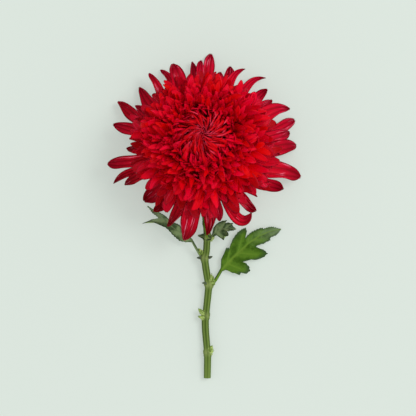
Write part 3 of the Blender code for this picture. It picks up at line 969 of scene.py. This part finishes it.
CURLED_LEAF = {
    "names": ("small_leaf", "leaf_upper"), "foot": (NODE_1, ON_RIGHT),
    "turns": (22, 5, 10), "fold": 0.2, "teeth": 0.3,
    "midrib": ((0, 0), (3, 1.6), (8, 2.6), (13, 2), (18.7, -1.2)),
    "left": (
        (0, 0, 0.8), (1.4, 2, 2.1), (2.6, 4.4, 5.9), (4.5, 8, 7.8), (6, 10.1, 8.2),
        (7.5, 12.3, 8.2), (9, 15.5, 7.4), (10, 13.3, 5.9), (11, 15.3, 5.4), (12.5, 18.5, 3.7),
        (14, 17.3, 2.7), (16, 18, 0.6), (18.7, 18.7, -1.2),
    ),
    "right": (
        (0, 0, -0.7), (1.6, 2.9, 0), (2.4, 4.1, 0), (3.2, 4.8, -0.7), (4, 6, -2.4),
        (5, 7.5, -4.6), (6.2, 10.4, -5.4), (7.6, 13, -4), (8.6, 12.8, -1.4), (9.4, 11.9, 0.2),
        (10.4, 12.9, -0.6), (12, 14.5, -0.6), (14.5, 16.5, -1.2), (18.7, 18.7, -1.3),
    ),
    "veins": ((4.5, 8.5, 12), (5.5, 11)), "stalk": (0.02, 0.12),
    "curl": (4.4, 9, 150),
}
NECK_LEAF = {
    "names": ("neck_leaf", "leaf_neck"), "foot": (NODE_1, ON_TOP),
    "turns": (100.6, 8, 0), "fold": 0.3, "teeth": 0.2,
    "midrib": ((0, 0), (17, 0)),
    "left": ((0, 0, 0.6), (3, 3.5, 1), (9, 10, 1.7), (17, 17, 0.1)),
    "right": ((0, 0, -0.6), (3, 3.5, -1), (9, 10, -1.7), (17, 17, -0.1)),
    "veins": ((6,), (6,)), "stalk": (0.02, 0.2),
}
LEAFLET = {
    "names": ("tiny_leaf", "leaflet"), "foot": (NODE_1, ON_TOP),
    "turns": (176, -20, 0), "fold": 0.2, "teeth": 0.1,
    "midrib": ((-3, 0.4), (2, 0), (7, -1)),
    "left": ((-3, -2.8, 1.4), (-0.5, -0.6, 2), (1, 1.6, 1.7), (2.4, 3.4, 1.2), (7, 7, -0.9)),
    "right": ((-3, -2.9, -0.8), (-0.5, 0, -2.4), (1, 1.6, -3.1), (3, 3.6, -2.5), (7, 7, -1.1)),
    "veins": ((1,), (1,)), "stalk": (-1, -0.9),
}
LEAF_COLUMNS = 10
TEETH_PER_MM = 0.55
# The share of the way out to the margin at which a leaf starts to curl.
CURL_START = 0.5


def ruled_sheet(shape):
    """A leaf as a sheet, ruled from the midrib to the margins along the side veins.

    Gives each row's place along the midrib, each column's from the right margin at -1 to the
    left one at 1, the midrib, the way out from it and how far out each point is, in mm.
    """
    midrib, right, left = (np.array(shape[key], float) for key in ("midrib", "right", "left"))
    stops = np.unique(np.concatenate([midrib[:, 0], right[:, 0], left[:, 0]]))
    # Rows are at most 0.3 mm apart, or a ninetieth of a long leaf, with one at every stop.
    finest = max(0.3, stops[-1] / 90)
    runs = [
        np.linspace(a, b, max(2, int((b - a) / finest) + 1), endpoint=False)
        for a, b in zip(stops, stops[1:])
    ]
    s = np.concatenate(runs + [stops[-1:]])[:, None]
    f = np.sin(np.linspace(-1, 1, 2 * LEAF_COLUMNS + 1) * pi / 2)[None]
    share = s / stops[-1]
    spine = np.hstack([s, np.interp(s, *midrib.T), 0 * s])
    away, out = np.zeros((len(s), f.size)), np.zeros((len(s), f.size, 3))
    in_blade = smooth(*shape["stalk"], share) * smooth(1.0, 0.93, share)
    for margin, half in ((right, f[0] < 0), (left, f[0] > 0)):
        roots, *edge = margin.T
        reach = np.hstack([np.interp(s, roots, line) for line in edge] + [0 * s]) - spine
        ahead = unit(reach + 1e-9)
        notches = (np.abs((s * TEETH_PER_MM) % 1 - 0.5) * 2 - 0.5) * shape["teeth"] * in_blade
        width = np.linalg.norm(reach, axis=1)[:, None] + notches
        away[:, half] = width * np.abs(f[:, half])
        out[:, half] = ahead[:, None]
    return s, f, spine[:, None], out, away


def rolled(shape, s, f, away):
    """How far out and how far up the curled edge of a leaf carries each point, in mm."""
    if "curl" not in shape:
        return away, 0 * away
    first, last, turn = shape["curl"]
    middle = (first + last) / 2
    bent = radians(turn) * smooth(last, middle, np.maximum(s, 2 * middle - s)) * (f < 0)
    width = away[:, :1]
    arc = np.maximum(away - CURL_START * width, 0)
    angle = bent * arc / (width * (1 - CURL_START)) + 1e-6
    radius = arc / angle
    return away - arc + radius * np.sin(angle), radius * (1 - np.cos(angle))


def leaf_layers(shape):
    """The upper and the lower points of a leaf and its stalk, in mm, and what is drawn on them:
    the veins, the bands along them, the margin and the far end.
    """
    s, f, spine, out, away = ruled_sheet(shape)
    length = s[-1]
    stalk = 1 - smooth(*shape["stalk"], s / length)
    veins = np.exp(-((away / (0.4 + 0.4 * stalk)) ** 2))
    bands = 0 * away
    for roots, on_side in zip(shape["veins"], (f > 0, f < 0)):
        for root in roots:
            near = on_side * (1 - f**2) * (1 - stalk)
            veins = np.maximum(veins, 0.6 * near * np.exp(-(((s - root) / (0.008 * length)) ** 2)))
            bands = np.maximum(bands, near * np.exp(-(((s - root) / (0.04 * length)) ** 2)))
    across, lift = rolled(shape, s, f, away)
    # The blade waves a little, more at its margins. The stalk is round, and under the blade it
    # goes on as a rib that thins out. The veins are sunk in the upper side.
    swell = 0.25 * np.sin(s * 0.8 + np.abs(f) * 2.5) * np.abs(f)
    sheet = spine + out * across[:, :, None]
    sheet[:, :, 2] = lift + (shape["fold"] * across + swell) * (1 - stalk)
    along, over = np.gradient(sheet, axis=0), np.gradient(sheet, axis=1)
    upward = unit(np.cross(along, over) + (0, 0, 1e-6))
    edge_round = np.sqrt(1 - f**2)
    rib = 0.5 * np.exp(-((away / 0.7) ** 2)) * (1 - 0.6 * s / length)
    above = 0.8 * stalk * edge_round - 0.25 * veins * (1 - stalk)
    below = (0.3 * edge_round + rib + 0.1) * (1 - stalk) + 0.8 * stalk * edge_round
    layers = sheet + upward * above[:, :, None], sheet - upward * below[:, :, None]
    drawn = {"vein": veins, "band": bands, "edge": np.abs(f), "far": s / length}
    return layers, drawn


def leaf(shape, finish):
    """A leaf with its stalk, at one of the stem's nodes."""
    name, node = shape["names"]
    layers, drawn = leaf_layers(shape)
    heading, rise, roll = shape["turns"]
    turned = Euler((radians(roll), radians(-rise), radians(heading))).to_matrix()
    points = np.concatenate([layer.reshape(-1, 3) for layer in layers]) @ np.array(turned).T
    foot = stem_skin(*shape["foot"], LEAF_SINKS)
    grid = layers[0].shape[:2]
    faces, upper = closed_sheet(*grid)
    mesh = bpy.data.meshes.new(name)
    mesh.from_pydata(points * MM + np.array(foot), [], faces)
    carry(mesh, "upper", upper, domain="FACE")
    for key, marks in drawn.items():
        carry(mesh, key, [np.broadcast_to(marks, grid)] * len(layers))
    joined = bmesh.new()
    joined.from_mesh(mesh)
    bmesh.ops.remove_doubles(joined, verts=joined.verts, dist=0.01 * MM)
    bmesh.ops.dissolve_degenerate(joined, edges=joined.edges, dist=0.005 * MM)
    bmesh.ops.recalc_face_normals(joined, faces=joined.faces)
    belongs(solid(name, joined, finish), "leaf", node)


def closed_sheet(rows, columns):
    """The faces between two layers of points and round their border, and which face up."""
    index = np.arange(rows * columns).reshape(rows, columns)
    corners = (index[:-1, :-1], index[1:, :-1], index[1:, 1:], index[:-1, 1:])
    above = np.stack(corners, axis=-1).reshape(-1, 1, 4)
    below = above[..., (0, 3, 2, 1)] + index.size
    skins = np.concatenate([above, below], axis=1).reshape(-1, 4)
    border = np.concatenate([index[:, 0], index[-1, 1:], index[-2::-1, -1], index[0, -2:0:-1]])
    after = np.roll(border, -1)
    rim = np.stack([after, border, border + index.size, after + index.size], axis=1)
    faces = np.concatenate([skins, rim]).tolist()
    return faces, [1.0, 0.0] * len(above) + [1.0] * len(rim)


# ---- stipules and buds

# Stipules: the node that each grows from, which way it lies from the stem's middle, the heading
# in degrees and the length in mm.
STIPULES = (
    (NODE_2, Vector((-0.95, 0, 0.3)), 183, 3.2),
    (NODE_2, Vector((0.9, 0, 0.4)), 22, 3.4),
    (NODE_3, Vector((-0.1, 0.4, 0.9)), 178, 4.6),
)
# Side shoots: the bud that each belongs to, the foot, from the head's centre and above the
# surface, the heading in degrees, the length and the width, in mm.
SHOOTS = (
    (1, (3.4, -65.1, 7.6), 26, 4.8, 3.2),
    (2, (-1.2, -75.6, 6.2), 118, 5.6, 3.6),
    (3, (5.2, -96.6, 5.2), 70, 4.4, 3.6),
    (3, (5.8, -94.6, 5.6), 98, 6.4, 3.6),
    (4, (0.8, -117.4, 5.2), 140, 6.8, 3.8),
    (4, (1.0, -120.2, 4.8), 160, 5.8, 3.2),
    (5, (3.2, -144.8, 4.6), 40, 5.0, 3.4),
    (5, (3.6, -143.0, 4.8), 60, 5.0, 3.6),
)
BUD_SCALES = 11


def level_directions(heading):
    """The level direction at a heading in degrees, and the one to its left."""
    turned = radians(heading)
    return Vector((cos(turned), sin(turned), 0)), Vector((-sin(turned), cos(turned), 0))


def stipules():
    """The small pointed scales beside the feet of the leaves."""
    for number, (node, side, heading, length) in enumerate(STIPULES):
        foot = stem_skin(node, side, STIPULE_SINKS)
        ahead, across = level_directions(heading)
        tip = foot + ahead * length * MM
        handles = (foot, foot + (ahead + ON_TOP * 0.4) * MM, tip - (ahead + across * 0.5) * MM, tip)
        t = rows_along(STIPULE_ROWS)
        half = 0.95 * MM * np.sin(pi * np.clip(0.25 + 0.75 * t, 0, 1)) ** 0.7 + 0.05 * MM
        strap = blade(handles, ON_TOP, t, half, 0.3 + 0.4 * t, 0.2 + 0.3 * number)
        name, solid_name = f"scale_leaf_{number + 1}", f"stipule_{number + 1}"
        grow(name, "leaf", solid_name, [strap], STIPULE_GREEN, STIPULE_CUT)


def shoot(number, bud, foot, heading, length, width):
    """A young side shoot: crowded scales that spread from one foot, the inner ones longest."""
    root = from_head(*foot)
    axis, flat = level_directions(heading)
    blades = []
    for scale in range(BUD_SCALES):
        azimuth = scale * GOLDEN_ANGLE + number
        out = flat * cos(azimuth) + ON_TOP * sin(azimuth) * 0.7
        inner = scale / (BUD_SCALES - 1)
        span = (0.4 + 0.6 * inner) * length * MM
        spread = (0.52 - 0.4 * inner) * width * MM
        # A scale leaves the axis, bulges out and closes in again towards its tip.
        handles = (
            root + out * 0.15 * width * MM + axis * 0.25 * inner * span,
            root + out * spread * 1.2 + axis * 0.4 * span,
            root + out * spread * 1.4 + axis * 0.75 * span,
            root + out * spread * 0.9 + axis * span,
        )
        t = rows_along(SMALL_ROWS)
        half = width * MM * (0.1 + 0.2 * np.sin(pi * t**0.8)) * smooth(1.08, 0.7, t)
        blades.append(blade(handles, -out, t, half, 0.7 + 0.3 * t, own_tone(scale)))
    grow(f"side_shoot_{number}", "bud", f"bud_{bud}", blades, BUD_GREEN, SCALE_CUT)


# ---- surface, light and view

# In metres and watts, and the lens and its sensor in mm.
SURFACE_HALF = 4
SKY_STRENGTH = 0.8
LAMP_WIDTH, LAMP_POWER = 2.2, 95
LAMP_PLACE, LAMP_AIM = Vector((2.7, 1.3, 3.9)), Vector((0, 0.02, 0.02))
CAMERA_PLACE = (0.00235, 0.0057, 2.4)
LENS, SENSOR = 297, 36


def surface():
    """The plain pale surface that the flower lies on, half of it seen as lit, half as even."""
    made, tree = new_finish("pale_surface")
    pale = srgb(216, 226, 218)
    complete(made, {"Base Color": pale, "Roughness": 0.9, "Specular IOR Level": 0.0})
    lit = Flow(tree.nodes["Principled BSDF"].outputs[0])
    glow = place(tree, "ShaderNodeEmission", {"Color": pale, "Strength": 1.0})
    seen = place(tree, "ShaderNodeLightPath", out="Is Camera Ray")
    both = place(tree, "ShaderNodeMixShader", {"Fac": seen * 0.5, 1: lit, 2: glow})
    plug(tree.nodes["Material Output"].inputs["Surface"], both)
    sheet = bmesh.new()
    bmesh.ops.create_grid(sheet, x_segments=1, y_segments=1, size=SURFACE_HALF)
    obj = solid("surface", sheet, made)


def lights():
    """White light from all round, and a large soft lamp up on the right."""
    world = bpy.data.worlds.new("soft_white")
    bpy.context.scene.world = world
    world.use_nodes = True
    sky = world.node_tree.nodes["Background"]
    sky.inputs["Color"].default_value = (1, 1, 1, 1)
    sky.inputs["Strength"].default_value = SKY_STRENGTH
    lamp = bpy.data.lights.new("window", "AREA")
    lamp.shape = "DISK"
    lamp.size = LAMP_WIDTH
    lamp.energy = LAMP_POWER
    obj = add_object("window", lamp)
    obj.location = LAMP_PLACE
    obj.rotation_euler = (LAMP_AIM - LAMP_PLACE).to_track_quat("-Z", "Y").to_euler()


def camera():
    """Looks straight down on the flower, with the head above and the stem below."""
    view = bpy.data.cameras.new("view")
    view.lens = LENS
    view.sensor_width = SENSOR
    view.clip_end = 20
    obj = add_object("view", view)
    obj.location = CAMERA_PLACE
    bpy.context.scene.camera = obj


bpy.context.scene.view_settings.view_transform = "Standard"

BLADES = blade_tree()
# The last colour of each petal finish is that of its painted highlights.
PETAL_CRIMSON = petal_finish(
    "petal_crimson", 3.0, (0.7, 0.25, 0.5, 1.0),
    (210, 2, 54), (112, 0, 4), (192, 8, 54), (234, 0, 40),
    (96, 0, 4), (108, 0, 6), (255, 142, 172),
)
# The pinker rim colours of the ruby, scarlet and heart finishes and the heart's pink tip colour are
# painted highlights.
PETAL_RUBY = petal_finish(
    "petal_ruby", 3.0, (0.5, 0.3, 0.35, 0.65),
    (218, 3, 50), (164, 0, 6), (206, 6, 54), (244, 2, 22),
    (168, 0, 14), (236, 60, 90), (250, 92, 130),
)
PETAL_SCARLET = petal_finish(
    "petal_scarlet", 2.0, (0.4, 0.25, 0.3, 0.6),
    (230, 0, 54), (212, 0, 0), (220, 0, 44), (255, 2, 10),
    (222, 2, 24), (236, 20, 66), (250, 60, 110),
)
PETAL_HEART = petal_finish(
    "petal_heart", 1.5, (0.75, 0.3, 0.35, 0.2),
    (214, 0, 22), (168, 0, 0), (204, 0, 18), (236, 2, 14),
    (255, 84, 122), (222, 6, 40), (240, 28, 72),
)
BRACT_GREEN = green_blade_finish("bract_green", (98, 116, 66), (58, 74, 40))
BUD_GREEN = green_blade_finish("bud_green", (172, 194, 106), (106, 136, 44))
RECEPTACLE_GREEN = green_blade_finish("receptacle_green", (120, 140, 80), (84, 104, 54))
STIPULE_GREEN = green_blade_finish("stipule_green", (64, 82, 44), (38, 52, 28))
LEAF_MID_GREEN = leaf_finish(
    "leaf_mid_green", (80, 117, 26), (50, 84, 2), (112, 146, 44), (150, 172, 96), (52, 76, 44)
)
LEAF_DARK_GREEN = leaf_finish(
    "leaf_dark_green", (124, 146, 97), (52, 74, 40), (132, 152, 102), (168, 192, 112), (34, 54, 28)
)
LEAF_DEEP_GREEN = leaf_finish(
    "leaf_deep_green", (82, 101, 62), (46, 62, 34), (98, 114, 72), (120, 140, 84), (40, 56, 34)
)
STEM_GREEN = stem_finish()

receptacle()
stem()
bracts()
for number, floret in enumerate(OUTER_FLORETS):
    outer_floret(number, floret)
inner_florets()
leaf(BROAD_LEAF, LEAF_MID_GREEN)
leaf(FOLDED_LEAF, LEAF_DARK_GREEN)
leaf(CURLED_LEAF, LEAF_DARK_GREEN)
leaf(NECK_LEAF, LEAF_MID_GREEN)
leaf(LEAFLET, LEAF_DEEP_GREEN)
stipules()
for number, spec in enumerate(SHOOTS):
    shoot(number + 1, *spec)
surface()
lights()
camera()
